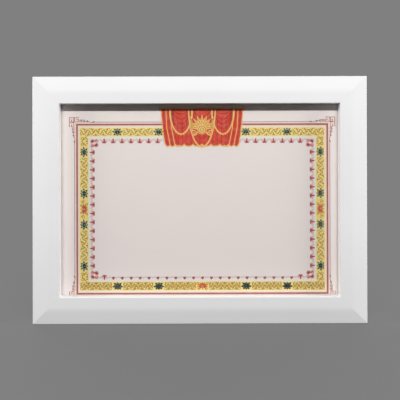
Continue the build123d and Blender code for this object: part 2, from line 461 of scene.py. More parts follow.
@dataclass(frozen=True)
class StudioFloor(Finish):
    """Matt grey paper floor. It fades into the backdrop's grey away from the object.

    It takes the shadow, and throws little light back up at the object.
    """

    name: str = "grey_floor"
    colour: str = "#787878"
    roughness: float = 0.9
    bounce_colour: str = "#2C2C2C"
    plain_share: float = 0.6
    clear_radius: float = 0.22
    fade_radius: float = 0.5

    def surface(self, tree: Tree, place: Socket) -> Node:
        """Mix the matt floor that is seen with plain grey, and with the darker one that bounces.

        Args:
            tree: the material's node tree.
            place: Object coordinates, in metres.

        Returns:
            The node that gives the surface.
        """
        matt = add_node(tree, "BsdfDiffuse", {"Color": self.colour})
        dark = add_node(tree, "BsdfDiffuse", {"Color": self.bounce_colour})
        plain = add_node(tree, "Emission", {"Color": BACKDROP})
        reach = add_node(tree, "VectorMath", {0: place}, operation="LENGTH").outputs["Value"]
        ring = {
            "Value": reach,
            "From Min": self.clear_radius,
            "From Max": self.fade_radius,
            "To Min": self.plain_share,
        }
        fade = add_node(tree, "MapRange", ring, interpolation_type="SMOOTHSTEP")
        shown = add_node(tree, "MixShader", {0: fade, 1: matt, 2: plain})
        return add_node(tree, "MixShader", {0: seen_ray(tree), 1: dark, 2: shown})


def make_piece(name: str, solid: bmesh.types.BMesh, finish: Finish) -> bpy.types.Object:
    """Turn a bmesh into an object of the scene, and free the bmesh.

    Args:
        name: the object's name.
        solid: its shape, in place and in metres.
        finish: what covers it.

    Returns:
        The object, at the origin.
    """
    mesh = bpy.data.meshes.new(name)
    solid.to_mesh(mesh)
    solid.free()
    mesh.materials.append(finish.material())
    piece = bpy.data.objects.new(name, mesh)
    bpy.context.scene.collection.objects.link(piece)
    return piece


class Ink(Enum):
    """The inks in the order in which they are printed, each with its piece name and colour."""

    CREAM = ("print_cream_ground", "#FFF3D2")
    PALE_GREEN = ("print_pale_green_ground", "#F9F2DC")
    ROSE = ("print_rose_tint", "#FCE0D6")
    LEMON = ("print_lemon_ground", "#FBE892")
    BRICK = ("print_red_line", "#B1645E")
    GOLD = ("print_gold_panels", "#FFE386")
    OLD_GOLD = ("print_old_gold_panels", "#DEBE64")
    STONE = ("print_grey_stems", "#C3C1B4")
    TAUPE = ("print_brown_frets", "#93706A")
    OCHRE = ("print_ochre_scrolls", "#AC823C")
    VERMILION = ("print_vermilion_petals", "#DE7442")
    PINK = ("print_pink_petals", "#EFB0AE")
    CRIMSON = ("print_crimson_buds", "#AE4A55")
    BOTTLE_GREEN = ("print_green_leaves", "#16241C")
    SAGE = ("print_sage_veins", "#DCE0BE")
    JADE = ("print_jade_hearts", "#5E9480")
    STRAW = ("print_straw_highlights", "#FFF6B0")
    RED = ("festoon_red_cloth", "#E24C38")
    DARK_RED = ("festoon_dark_red_folds", "#B03A2E")
    YELLOW_GOLD = ("festoon_gold", "#F8C974")
    BRONZE = ("festoon_bronze_lines", "#B8803A")

    @property
    def piece(self) -> str:
        """Name of the piece that holds all of this ink."""
        return self.value[0]

    @property
    def colour(self) -> str:
        """The ink's colour as an sRGB hex value."""
        return self.value[1]

    @property
    def rank(self) -> int:
        """How many inks are printed before this one."""
        return list(Ink).index(self)


class Side(Enum):
    """A side of the border, by how many degrees a motif drawn for the top turns for it."""

    TOP = 0.0
    LEFT = 90.0
    BOTTOM = 180.0
    RIGHT = 270.0

    @property
    def axis(self) -> int:
        """Axis on which its distance from the print's middle lies: 0 for x, 1 for y."""
        return int(self in (Side.TOP, Side.BOTTOM))


# The print is drawn in millimetres. An ink lies a step in front of the ink printed before it,
# and its own marks that may overlap lie a layer apart.
INK_THICKNESS = 0.004
INK_STEP = 0.009
LAYER_STEP = 0.0004
LAYERS = 12
WELD = 0.0001
# Straight steps of a spiral and of a small spot, as few as still look round
VOLUTE_STEPS_PER_TURN = 11
LEAST_VOLUTE_STEPS = 6
DOT_SIDES = 6


def toward(start: Point, turn: float, reach: float) -> Point:
    """The point at a distance from another, in a direction in degrees from +x."""
    angle = math.radians(turn)
    return start[0] + reach * math.cos(angle), start[1] + reach * math.sin(angle)


def arc(
    centre: Point, radius: float, start: float, end: float, steps: int, flatness: float = 1.0
) -> list[Point]:
    """Points along an arc of a circle or, where flatness isn't 1, of an ellipse.

    Args:
        centre: middle of the arc.
        radius: its radius along x.
        start: angle of the first point, in degrees.
        end: angle of the last point, in degrees.
        steps: number of straight steps.
        flatness: height of the ellipse as a share of its width.

    Returns:
        The points, one more than the steps.
    """
    turns = (start + (end - start) * i / steps for i in range(steps + 1))
    circle = (toward((0.0, 0.0), turn, radius) for turn in turns)
    return [(centre[0] + x, centre[1] + flatness * y) for x, y in circle]


def volute(
    centre: Point, radius: float, start: float, turns: float, inner_share: float = 0.18
) -> list[Point]:
    """Points of a spiral that winds in from its radius to a share of it.

    Args:
        centre: middle of the spiral.
        radius: radius of its first point.
        start: angle of the first point, in degrees.
        turns: number of turns, below 0 for clockwise.
        inner_share: radius of the last point as a share of the first.

    Returns:
        The points, from outside to inside.
    """
    steps = max(LEAST_VOLUTE_STEPS, round(abs(turns) * VOLUTE_STEPS_PER_TURN))
    shares = (i / steps for i in range(steps + 1))
    return [
        toward(centre, start + 360 * turns * share, radius * (1 - (1 - inner_share) * share))
        for share in shares
    ]


def leaf(base: Point, length: float, width: float, turn: float, steps: int = 5) -> list[Point]:
    """Outline of a pointed leaf.

    Args:
        base: its foot.
        length: from foot to tip.
        width: across its widest part.
        turn: direction of its tip in degrees, 0 along +x.
        steps: straight steps along each side.

    Returns:
        The closed outline's points.
    """
    along, across = Vector((1, 0)), Vector((0, 1))
    side = [(i / steps, math.sin(math.pi * (i / steps) ** 0.85)) for i in range(steps + 1)]
    outline = [along * length * t + across * width / 2 * s for t, s in side]
    outline += [along * length * t - across * width / 2 * s for t, s in side[-2:0:-1]]
    spin = Matrix.Rotation(math.radians(turn), 2)
    return [(base[0] + p.x, base[1] + p.y) for p in (spin @ q for q in outline)]


def block(left: float, right: float, low: float, high: float) -> list[Point]:
    """Outline of a rectangle."""
    return [(left, low), (right, low), (right, high), (left, high)]


def evenly(count: int, pitch: float) -> list[float]:
    """Places of a row that has its middle at 0."""
    return [pitch * (i - (count - 1) / 2) for i in range(count)]


def wider(size: Point, by: float) -> Point:
    """Half sizes made larger on both axes by the same length."""
    return size[0] + by, size[1] + by


@dataclass(frozen=True)
class Mark:
    """One printed shape of a motif: a filled outline or, where it has a width, a drawn line."""

    ink: Ink
    outlines: tuple[list[Point], ...]
    width: float = 0.0
    end_share: float = 1.0
    closed: bool = False

    def cut(self, lift: float) -> bpy.types.Mesh:
        """Cut the mark as a thin closed solid that lies flat in XY.

        Args:
            lift: how far it is lifted, so that it lies over the same ink's earlier marks.

        Returns:
            The mesh, with flat shading.
        """
        curve = bpy.data.curves.new("mark", "CURVE")
        if self.width:
            curve.dimensions = "3D"
            curve.twist_mode = "Z_UP"
            curve.bevel_depth = self.width / 2
            curve.bevel_resolution = 0
            curve.use_fill_caps = True
        else:
            curve.dimensions = "2D"
            curve.fill_mode = "BOTH"
            curve.extrude = INK_THICKNESS / 2
        for outline in self.outlines:
            spline = curve.splines.new("POLY")
            spline.points.add(len(outline) - 1)
            for i, (x, y) in enumerate(outline):
                spline.points[i].co = (x, y, 0, 1)
                spline.points[i].radius = 1 + (self.end_share - 1) * i / (len(outline) - 1)
            spline.use_cyclic_u = self.closed or not self.width
        holder = bpy.data.objects.new("mark", curve)
        mesh = bpy.data.meshes.new_from_object(holder)
        bpy.data.objects.remove(holder)
        bpy.data.curves.remove(curve)
        if self.width:
            mesh.transform(Matrix.Diagonal((1, 1, INK_THICKNESS / self.width, 1)))
        solid = bmesh.new()
        solid.from_mesh(mesh)
        bmesh.ops.remove_doubles(solid, verts=solid.verts, dist=WELD)
        bmesh.ops.translate(solid, verts=solid.verts, vec=(0, 0, lift))
        for face in solid.faces:
            face.smooth = False
        solid.to_mesh(mesh)
        solid.free()
        return mesh


def fill(ink: Ink, *outlines: list[Point]) -> Mark:
    """A filled shape. Outlines that lie inside the first are left open."""
    return Mark(ink, outlines)


def dot(ink: Ink, centre: Point, radius: float, sides: int = DOT_SIDES) -> Mark:
    """A filled round spot."""
    return fill(ink, arc(centre, radius, 0, 360, sides)[:-1])


def line(
    ink: Ink, points: list[Point], width: float, end_share: float = 1.0, closed: bool = False
) -> Mark:
    """A drawn line, which narrows to end_share of its width."""
    return Mark(ink, (points,), width, end_share, closed)


def surround(ink: Ink, outer: Point, inner: Point) -> Mark:
    """A rectangular band between two rectangles, each given by its half sizes."""
    return fill(ink, *(block(-x, x, -y, y) for x, y in (outer, inner)))


class Motif:
    """A printed motif, cut once and pressed wherever it repeats."""

    def __init__(self, marks: list[Mark]) -> None:
        """Cut every mark of the motif, each a layer over the same ink's mark before it.

        Args:
            marks: the motif's marks, in printing order.
        """
        self.cuts: list[tuple[Ink, bpy.types.Mesh]] = []
        printed = Counter()
        for mark in marks:
            self.cuts.append((mark.ink, mark.cut(printed[mark.ink] % LAYERS * LAYER_STEP)))
            printed[mark.ink] += 1


def spot(x: float, y: float, turn: float = 0.0, flip_x: int = 1, flip_y: int = 1) -> Matrix:
    """Where a motif is pressed.

    Args:
        x: place along the sheet's long side, from the print's middle.
        y: place along its short side.
        turn: turn in degrees, after any flip.
        flip_x: -1 to mirror the motif left to right.
        flip_y: -1 to mirror it top to bottom.

    Returns:
        The motif's placement in the sheet's plane.
    """
    flip = Matrix.Diagonal((flip_x, flip_y, 1, 1))
    return Matrix.Translation((x, y, 0)) @ Matrix.Rotation(math.radians(turn), 4, "Z") @ flip


class PrintingPress:
    """Collects the pressed marks of each ink, and turns each ink into one piece."""

    def __init__(self, middle: Vector) -> None:
        """Set the print's middle on the paper's face, in metres."""
        self.middle = middle
        self.pressed: defaultdict[Ink, bmesh.types.BMesh] = defaultdict(bmesh.new)

    def press(self, motif: Motif, place: Matrix) -> None:
        """Press a motif once.

        Args:
            motif: what is pressed.
            place: its placement in the sheet's plane.
        """
        for ink, cut in motif.cuts:
            copy = cut.copy()
            copy.transform(place)
            self.pressed[ink].from_mesh(copy)
            bpy.data.meshes.remove(copy)

    def press_side(
        self, side: Side, motif: Motif, along: float, out: float, mirror: int = 1
    ) -> None:
        """Press a motif once on a side of the border, its top outwards.

        Args:
            side: the border's side.
            motif: what is pressed.
            along: its place along the side, from the side's middle.
            out: how far the side lies from the print's middle.
            mirror: 1 for the motif as drawn, -1 for its mirror image.
        """
        carry = Matrix.Rotation(math.radians(side.value), 4, "Z")
        self.press(motif, carry @ spot(along, out, flip_x=mirror))

    def pieces(self) -> list[bpy.types.Object]:
        """Stand every ink up in front of the paper, one thin step above the ink before it.

        Returns:
            One piece for each ink.
        """
        made = []
        for ink, solid in self.pressed.items():
            lift = (INK_THICKNESS + INK_STEP * ink.rank) * MM
            stand = Matrix.Translation(self.middle - Vector((0, lift, 0)))
            solid.transform(stand @ Matrix.Rotation(math.pi / 2, 4, "X") @ Matrix.Scale(MM, 4))
            bmesh.ops.recalc_face_normals(solid, faces=solid.faces)
            finish = PrintingInk(ink.name.lower() + "_ink", ink.colour)
            made.append(make_piece(ink.piece, solid, finish))
        return made


@dataclass(frozen=True)
class Bud:
    """Small bud of the inner row: a crimson bell between pink petals, its tip outwards."""

    height: float = 4.9
    half_width: float = 2.1
    petal_length: float = 3.5
    petal_width: float = 1.9
    petals: tuple[Point, ...] = ((30, 1.0), (58, 0.95))

    def marks(self) -> list[Mark]:
        """Draw the petals and, over them, the bell with its flared foot.

        Returns:
            The marks, in printing order.
        """
        top, low, wide = self.height / 2, -self.height / 2, self.half_width
        neck = [(0.55, top), (0.8, top - 0.9), (0.6, 0.3)]
        half = neck + [(1.0, low + 1.6), (wide, low + 0.6), (wide, low)]
        marks = []
        for side in (-1, 1):
            foot = (side * 0.5, low + 0.7)
            for lean, share in self.petals:
                petal = leaf(foot, self.petal_length * share, self.petal_width, 90 - side * lean)
                marks.append(fill(Ink.PINK, petal))
        bell = half + [(-x, y) for x, y in reversed(half)]
        return marks + [fill(Ink.CRIMSON, bell)]


@dataclass(frozen=True)
class StemLink:
    """Thin grey stem between two buds, with a small curl on each side."""

    length: float
    wave_height: float = 0.28
    wave_steps: int = 8
    line_width: float = 0.42
    curl_radius: float = 0.75
    curl_turns: float = -1.1
    curl_width: float = 0.34
    curl_share: float = 0.42

    def marks(self) -> list[Mark]:
        """Draw the stem in one slow wave, and its two curls.

        Returns:
            The marks, in printing order.
        """
        half = self.length / 2
        shares = [i / self.wave_steps for i in range(self.wave_steps + 1)]
        wave = [
            (self.length * s - half, self.wave_height * math.sin(2 * math.pi * s)) for s in shares
        ]
        marks = [line(Ink.STONE, wave, self.line_width)]
        for side, start in ((1, 250), (-1, 70)):
            eye = (side * half * self.curl_share, side * self.curl_radius)
            curl = volute(eye, self.curl_radius, start, self.curl_turns)
            marks.append(line(Ink.STONE, curl, self.curl_width, 0.6))
        return marks


@dataclass(frozen=True)
class LeafFan:
    """Star of dark green leaves, wider than high, with a pale spot on each and a jade boss.

    Each leaf is given by its turn, length and width.
    """

    leaves: tuple[Triple, ...] = (
        (90, 4.3, 2.1),
        (46, 5.1, 2.2),
        (6, 6.0, 2.2),
        (-40, 5.5, 2.3),
        (-90, 4.3, 2.1),
    )
    widen: float = 1.0
    spot_share: float = 0.5
    spot_radius: float = 0.6
    boss_radius: float = 0.75

    def marks(self) -> list[Mark]:
        """Draw every leaf with its spot, mirrored left and right, and the boss.

        Returns:
            The marks, in printing order.
        """
        marks = []
        for turn, length, width in self.leaves:
            for way in sorted({turn % 360, (180 - turn) % 360}):
                marks.append(fill(Ink.BOTTLE_GREEN, leaf((0, 0), length, width * self.widen, way)))
                middle = toward((0.0, 0.0), way, length * self.spot_share)
                marks.append(dot(Ink.SAGE, middle, self.spot_radius))
        return marks + [dot(Ink.JADE, (0.0, 0.0), self.boss_radius, 8)]


@dataclass(frozen=True)
class OpenFlower:
    """Open red flower in side view on a gold cell. Its short stem points outwards.

    Each petal is given by its turn, length and width, each curl by its place and radius, a rib
    by shares of its petal's length, and the heart by its length and width.
    """

    petals: tuple[Triple, ...] = (
        (-90, 5.0, 1.9),
        (-60, 5.4, 1.7),
        (-31, 6.4, 1.7),
        (-3, 6.5, 1.5),
        (27, 4.8, 1.3),
    )
    curls: tuple[Triple, ...] = ((4.4, 2.9, 1.2), (5.4, -2.6, 1.4), (8.3, 1.2, 1.8))
    curl_width: float = 0.75
    eye_radius: float = 0.5
    seat: float = 0.8
    stem_length: float = 3.2
    stem_width: float = 1.0
    rib: Point = (0.3, 0.8)
    rib_width: float = 0.6
    heart: Point = (3.2, 1.2)
    half_length: float = 6.9
    half_height: float = 4.25

    def marks(self) -> list[Mark]:
        """Draw the cell with the curls that it has room for, the stem and the petals.

        Returns:
            The marks, in printing order.
        """
        wide, tall, seat = self.half_length, self.half_height, (0.0, self.seat)
        marks = [fill(Ink.GOLD, block(-wide, wide, -tall, tall))]
        for side in (-1, 1):
            for x, y, radius in self.curls:
                if x + radius <= wide:
                    curl = volute((side * x, y), radius, 90, side * 1.2, 0.3)
                    marks.append(line(Ink.OCHRE, curl, self.curl_width, 0.6))
                    marks.append(dot(Ink.STRAW, (side * x, y), self.eye_radius))
        stem = [seat, (0, self.seat + self.stem_length)]
        marks.append(line(Ink.VERMILION, stem, self.stem_width, 0.7))
        for turn, length, width in reversed(self.petals):
            for way in sorted({turn, -180 - turn}):
                marks.append(fill(Ink.VERMILION, leaf(seat, length, width, way)))
                rib = [toward(seat, way, length * share) for share in self.rib]
                marks.append(line(Ink.DARK_RED, rib, self.rib_width, 0.5))
        return marks + [fill(Ink.PINK, leaf((0.0, self.seat + 0.4), *self.heart, -90, 4))]


@dataclass(frozen=True)
class ScrollPanel:
    """Gold panel of leafy scrollwork, half of a mirrored pair. Its mirror line is at x = 0.

    Each blade is given by its place along a bay and its turn.
    """

    length: float
    ground_ink: Ink = Ink.GOLD
    pitch: float = 4.4
    half_height: float = 4.25
    corner: float = 0.8
    line_width: float = 0.75
    eye_height: float = 1.7
    eye_radius: float = 0.7
    volute_radius: float = 1.75
    volute_turns: float = 1.1
    wave_height: float = 2.3
    blades: tuple[Point, ...] = ((0.6, 118), (1.9, 62))
    blade_length: float = 2.5
    blade_width: float = 1.15

    def ground(self) -> list[Point]:
        """Outline of the panel, square at the mirror line and rounded at its far end.

        Returns:
            The closed outline's points.
        """
        far, tall, bend = self.length, self.half_height, self.corner
        outline = [(0.0, -tall)]
        outline += arc((far - bend, -tall + bend), bend, -90, 0, 3)
        outline += arc((far - bend, tall - bend), bend, 0, 90, 3)
        return outline + [(0.0, tall)]

    def bay(self, start: float, step: float, side: int) -> list[Mark]:
        """Draw what fills one bay of the waving stem: a volute, leaves and highlights.

        Args:
            start: x of the crest at which the bay starts.
            step: length of the bay.
            side: 1 where that crest is low, -1 where it is high.

        Returns:
            The marks, in printing order.
        """
        tall = self.half_height
        eye = (start + step / 2, -side * self.eye_height)
        curl = volute(eye, self.volute_radius, 90 * side - 40, -side * self.volute_turns, 0.3)
        marks = [line(Ink.OCHRE, curl, self.line_width, 0.7), dot(Ink.STRAW, eye, self.eye_radius)]
        for shift, turn in self.blades:
            foot = (start + shift, side * (tall - 0.2))
            blade = leaf(foot, self.blade_length, self.blade_width, -side * turn, 4)
            marks.append(fill(Ink.OCHRE, blade))
        foot = (start + step * 0.75, side * (tall - 0.6))
        marks.append(fill(Ink.STRAW, leaf(foot, 2.2, 1.3, -side * 105, 4)))
        foot = (start + 0.7, -side * (tall - 0.5))
        return marks + [fill(Ink.STRAW, leaf(foot, 1.8, 1.1, side * 40, 4))]

    def marks(self) -> list[Mark]:
        """Draw the ground, the waving stem and the fillings of its bays.

        Returns:
            The marks, in printing order.
        """
        bays = max(1, round(self.length / self.pitch))
        step = self.length / bays
        quarters = range(4 * bays + 1)
        stem = [(step * i / 4, self.wave_height * math.cos(math.pi * i / 4)) for i in quarters]
        marks = [fill(self.ground_ink, self.ground()), line(Ink.OCHRE, stem, self.line_width)]
        for i in range(bays):
            marks += self.bay(step * i, step, 1 if i % 2 else -1)
        return marks


@dataclass(frozen=True)
class CornerSquare:
    """Inner corner square, drawn for the upper left: two crimson flowers and two curls.

    Each flower is given by its shift and turn, each petal by its spread and share of the length,
    each curl by its place and start, and each stroke by its ink, share of the radius and width.
    """

    half_size: float = 4.4
    flowers: tuple[Point, ...] = ((-1.4, 135.0), (1.4, -45.0))
    petals: tuple[Point, ...] = ((-78, 0.75), (78, 0.75), (-38, 0.95), (38, 0.95), (0, 1.0))
    petal_length: float = 3.4
    petal_width: float = 1.2
    hearts: tuple[tuple[Ink, float], ...] = ((Ink.PINK, 1.0), (Ink.CRIMSON, 0.6))
    curls: tuple[Triple, ...] = ((2.1, 2.1, 200.0), (-2.1, -2.1, 20.0))
    curl_radius: float = 1.9
    curl_turns: float = -1.4
    strokes: tuple[tuple[Ink, float, float], ...] = ((Ink.PINK, 1.0, 1.1), (Ink.CRIMSON, 0.75, 0.5))
    berries: tuple[Point, ...] = ((-1.71, 0.18), (0.27, 1.71))
    berry_radius: float = 0.45

    def marks(self) -> list[Mark]:
        """Draw the flowers on the diagonal that points outwards, and the curls between.

        Returns:
            The marks, in printing order.
        """
        half = self.half_size
        marks = [fill(Ink.ROSE, block(-half, half, -half, half))]
        for x, y, start in self.curls:
            for ink, share, width in self.strokes:
                curl = volute((x, y), self.curl_radius * share, start, self.curl_turns, 0.3)
                marks.append(line(ink, curl, width, 0.7))
            way = math.copysign(1.0, x)
            for right, up in self.berries:
                place = (x + way * right, y + way * up)
                marks.append(dot(Ink.CRIMSON, place, self.berry_radius))
        for shift, turn in self.flowers:
            foot = (shift, -shift)
            for spread, share in self.petals:
                petal = leaf(foot, self.petal_length * share, self.petal_width, turn + spread)
                marks.append(fill(Ink.CRIMSON, petal))
            marks += [dot(ink, foot, radius, 8) for ink, radius in self.hearts]
        return marks


@dataclass(frozen=True)
class FretCorner:
    """Outer corner fret, drawn for the upper left: three square keys on a rose ground.

    Its origin is the corner of the thin outer line, and its keys reach past that corner.
    """

    reach: Point = (5.4, 4.9)
    key: float = 4.7
    gap: float = 0.5
    rim: float = 0.3
    line_width: float = 0.72

    @property
    def start(self) -> Point:
        """How far the fret's arms run along the two sides from the line's corner."""
        arm = 2 * self.key + self.gap
        return arm - self.reach[0], arm - self.reach[1]

    def square_key(self, left: float, top: float, across: bool) -> list[Mark]:
        """Draw one key: a line that turns in to the middle of its square.

        Args:
            left: x of the square's left side.
            top: y of its top.
            across: whether the key is turned over, across its diagonal.

        Returns:
            The marks, in printing order.
        """
        side, rim = self.key, self.rim
        hook = [(0.0, side), (0.0, 0.0), (side, 0.0), (side, side)]
        hook += [(side * 0.5, side), (side * 0.5, side * 0.46)]
        turned = [(y, x) for x, y in hook] if across else hook
        path = [(left + x, top - y) for x, y in turned]
        ground = block(left - rim, left + side + rim, top - side - rim, top + rim)
        return [fill(Ink.ROSE, ground), line(Ink.TAUPE, path, self.line_width)]

    def marks(self) -> list[Mark]:
        """Draw the corner key and the key of each arm.

        Returns:
            The marks, in printing order.
        """
        left, top = -self.reach[0], self.reach[1]
        step = self.key + self.gap
        places = ((left, top, False), (left + step, top, True), (left, top - step, False))
        return [mark for place in places for mark in self.square_key(*place)]


@dataclass(frozen=True)
class RunOut:
    """Curled run between a corner fret and the thin outer line, along +x from the fret."""

    curls: tuple[Point, ...] = ((1.9, 1.45), (5.0, 1.45), (8.9, 0.95))
    ground_end: float = 6.7
    ground_height: float = 2.9
    neck_start: float = 6.4
    neck_end: float = 15.8
    neck_height: float = 1.1
    neck_steps: int = 10
    line_width: float = 0.56
    bud: Point = (2.7, 1.5)

    def marks(self) -> list[Mark]:
        """Draw the rolling curls on their ground, the swan neck and the bud that ends it.

        Returns:
            The marks, in printing order.
        """
        marks = [fill(Ink.ROSE, block(0.3, self.ground_end, -0.5, self.ground_height))]
        for i, (x, radius) in enumerate(self.curls):
            hand = 1 if i % 2 else -1
            curl = volute((x, radius - 0.1), radius, -90 * hand, 1.2 * hand, 0.35)
            marks.append(line(Ink.TAUPE, curl, self.line_width))
        neck = []
        for i in range(self.neck_steps + 1):
            share = i / self.neck_steps
            rise = self.neck_height * math.sin(math.pi * (0.25 + 1.25 * share))
            x = self.neck_start + (self.neck_end - self.neck_start) * share
            neck.append((x, rise * (1 - share / 1.2)))
        marks.append(line(Ink.TAUPE, neck, self.line_width * 1.1, 0.8))
        return marks + [fill(Ink.TAUPE, leaf((self.neck_end - 1.5, 0.2), *self.bud, 0))]


@dataclass(frozen=True)
class Festoon:
    """Red cloth festoon at the head of the sheet: swags, side falls, gold fringe, palmette.

    It is drawn from its own middle, with the rod's middle line at y = 0. A tassel's skirt is given
    by its half widths at the top and the hem, and the scroll at the palmette's foot by its place
    from there and its radius.
    """

    half_width: float = 43.0
    rod_width: float = 1.7
    drop: float = 41.5
    swag_drop: float = 27.0
    middle_drop: float = 40.5
    swag_ends: Point = (10.0, 34.0)
    swag_overlap: float = 4.0
    folds: tuple[float, ...] = (0.22, 0.42, 0.6, 0.78)
    fold_width: float = 0.85
    fall_width: float = 15.0
    fall_lean: float = 4.5
    pleats: int = 3
    back_drop: float = 37.5
    scallops: int = 6
    crease_top: float = -12.0
    crease_width: float = 0.7
    fringe: float = 1.5
    thread_length: float = 1.9
    thread_width: float = 0.7
    cord_width: float = 0.9
    knot_radius: float = 1.3
    skirt: Point = (0.7, 1.7)
    knob_radius: float = 1.7
    palmette_y: float = -21.5
    palmette_radius: float = 15.5
    frond_width: float = 3.3
    boss_radius: float = 4.9
    boss_rings: Point = (3.9, 1.8)
    foot_scroll: Triple = (8.4, -3.6, 3.4)

    def backcloth(self) -> list[Mark]:
        """Draw the plain cloth behind the swags, with a scalloped and fringed lower edge.

        Returns:
            The marks, in printing order.
        """
        scallop = (self.half_width - self.fall_width) * 2 / self.scallops
        start = self.fall_width - self.half_width
        hem = []
        for i in range(self.scallops):
            middle = (start + scallop * (i + 0.5), -self.back_drop)
            hem += arc(middle, scallop / 2, 180, 360, 6, 0.5)
        outline = [(start, 0)] + hem + [(-start, 0)]
        marks = [fill(Ink.RED, outline), line(Ink.YELLOW_GOLD, hem, self.fringe * 0.8)]
        for i in range(2 * self.scallops):
            x = start + scallop * (i + 0.5) / 2
            crease = [(x, self.crease_top), (x * 0.97, -self.back_drop)]
            marks.append(line(Ink.DARK_RED, crease, self.crease_width))
        return marks

    def swag(self, left: float, right: float, drop: float) -> list[Mark]:
        """Draw one swag of cloth between two points of the rod, with its folds and its fringe.

        Args:
            left: x of its left end.
            right: x of its right end.
            drop: how far it hangs down.

        Returns:
            The marks, in printing order.
        """
        middle, half = ((left + right) / 2, 0), (right - left) / 2
        hem = arc(middle, half, 180, 360, 18, drop / half)
        marks = [fill(Ink.RED, hem), line(Ink.YELLOW_GOLD, hem, self.fringe)]
        for share in self.folds:
            reach = half * (0.55 + 0.4 * share)
            fold = arc(middle, reach, 190, 350, 14, drop * share / reach)
            marks.append(line(Ink.DARK_RED, fold, self.fold_width))
        for x, y in arc(middle, half, 195, 345, 10, drop / half):
            thread = [(x, y), (x, y - self.thread_length)]
            marks.append(line(Ink.YELLOW_GOLD, thread, self.thread_width, 0.5))
        return marks

    def fall(self, side: int) -> list[Mark]:
        """Draw the pleated fall of cloth at one end of the rod, which leans inwards.

        Args:
            side: -1 for the left end, 1 for the right.

        Returns:
            The marks, in printing order.
        """
        outer = side * self.half_width
        foot = outer - side * self.fall_lean
        pleat = side * self.fall_width / self.pleats
        hem = [(foot + side * 0.6, 4.5 - self.drop)]
        for i in range(self.pleats):
            x, low = foot - pleat * (i + 0.5), 1.2 - self.drop
            hem += [(x + pleat * 0.3, low + 0.8), (x, low), (x - pleat * 0.5, low + 1.5)]
        outline = [(outer, 0)] + hem + [(outer - side * self.fall_width, 0)]
        marks = [fill(Ink.RED, outline), line(Ink.YELLOW_GOLD, hem, self.fringe * 0.7)]
        for i in range(2 * self.pleats):
            x, end = outer - pleat * i / 2, foot - pleat * i / 2
            ink, width = ((Ink.YELLOW_GOLD, 0.75), (Ink.DARK_RED, 0.8))[i % 2]
            bend = ((x + end) / 2 + side * 1.2, -self.drop / 2)
            marks.append(line(ink, [(x, -1), bend, (end, 3 - self.drop)], width))
        return marks

    def tassel(self, x: float, length: float) -> list[Mark]:
        """Draw a gold tassel that hangs from the rod between two swags.

        Args:
            x: where it hangs.
            length: from the rod to its end.

        Returns:
            The marks, in printing order.
        """
        neck = -length * 0.45
        top, hem = self.skirt
        skirt = [(x - top, neck), (x + top, neck), (x + hem, -length), (x - hem, -length)]
        marks = [
            line(Ink.YELLOW_GOLD, [(x, 0), (x, neck)], self.cord_width),
            fill(Ink.YELLOW_GOLD, skirt),
            dot(Ink.YELLOW_GOLD, (x, neck + 1), self.knot_radius, 12),
        ]
        for shift in (-0.8, 0, 0.8):
            strand = [(x + shift * 0.6, neck - 0.6), (x + shift * 1.2, -length + 0.4)]
            marks.append(line(Ink.BRONZE, strand, 0.35))
        return marks

    def palmette(self) -> list[Mark]:
        """Draw the gold palmette over a round boss, with a scroll at each side of its foot.

        Returns:
            The marks, in printing order.
        """
        y = self.palmette_y
        boss = (0, y - 1)
        marks = []
        for turn in range(-80, 81, 20):
            length = self.palmette_radius * (1 - 0.12 * abs(turn) / 80)
            frond = leaf((0, y), length, self.frond_width, 90 + turn, 7)
            marks.append(fill(Ink.YELLOW_GOLD, frond))
            rib = [toward((0, y), 90 + turn, length * share) for share in (0.35, 0.6, 0.86)]
            marks.append(line(Ink.BRONZE, rib, 0.7, 0.4))
        marks.append(dot(Ink.YELLOW_GOLD, boss, self.boss_radius, 24))
        for radius in self.boss_rings:
            marks.append(line(Ink.BRONZE, arc(boss, radius, 0, 360, 20)[:-1], 0.55, closed=True))
        along, down, radius = self.foot_scroll
        for side in (-1, 1):
            curl = volute((side * along, y + down), radius, 90 + side * 80, side * 1.5)
            marks.append(line(Ink.YELLOW_GOLD, curl, 1.5, 0.5))
        return marks

    def marks(self) -> list[Mark]:
        """Draw the whole festoon.

        Returns:
            The marks, in printing order.
        """
        near, far = self.swag_ends
        inner = near + self.swag_overlap
        marks = self.backcloth() + self.swag(-inner, inner, self.middle_drop)
        for side in (-1, 1):
            marks += self.swag(*sorted((side * near, side * far)), self.swag_drop)
            marks += self.fall(side)
            marks += self.tassel(side * (near + 1), self.swag_drop * 0.85)
            end = (side * (self.half_width + 0.6), 0)
            marks.append(dot(Ink.YELLOW_GOLD, end, self.knob_radius, 12))
        rod = [(-self.half_width, 0), (self.half_width, 0)]
        marks.append(line(Ink.YELLOW_GOLD, rod, self.rod_width))
        return marks + self.palmette()


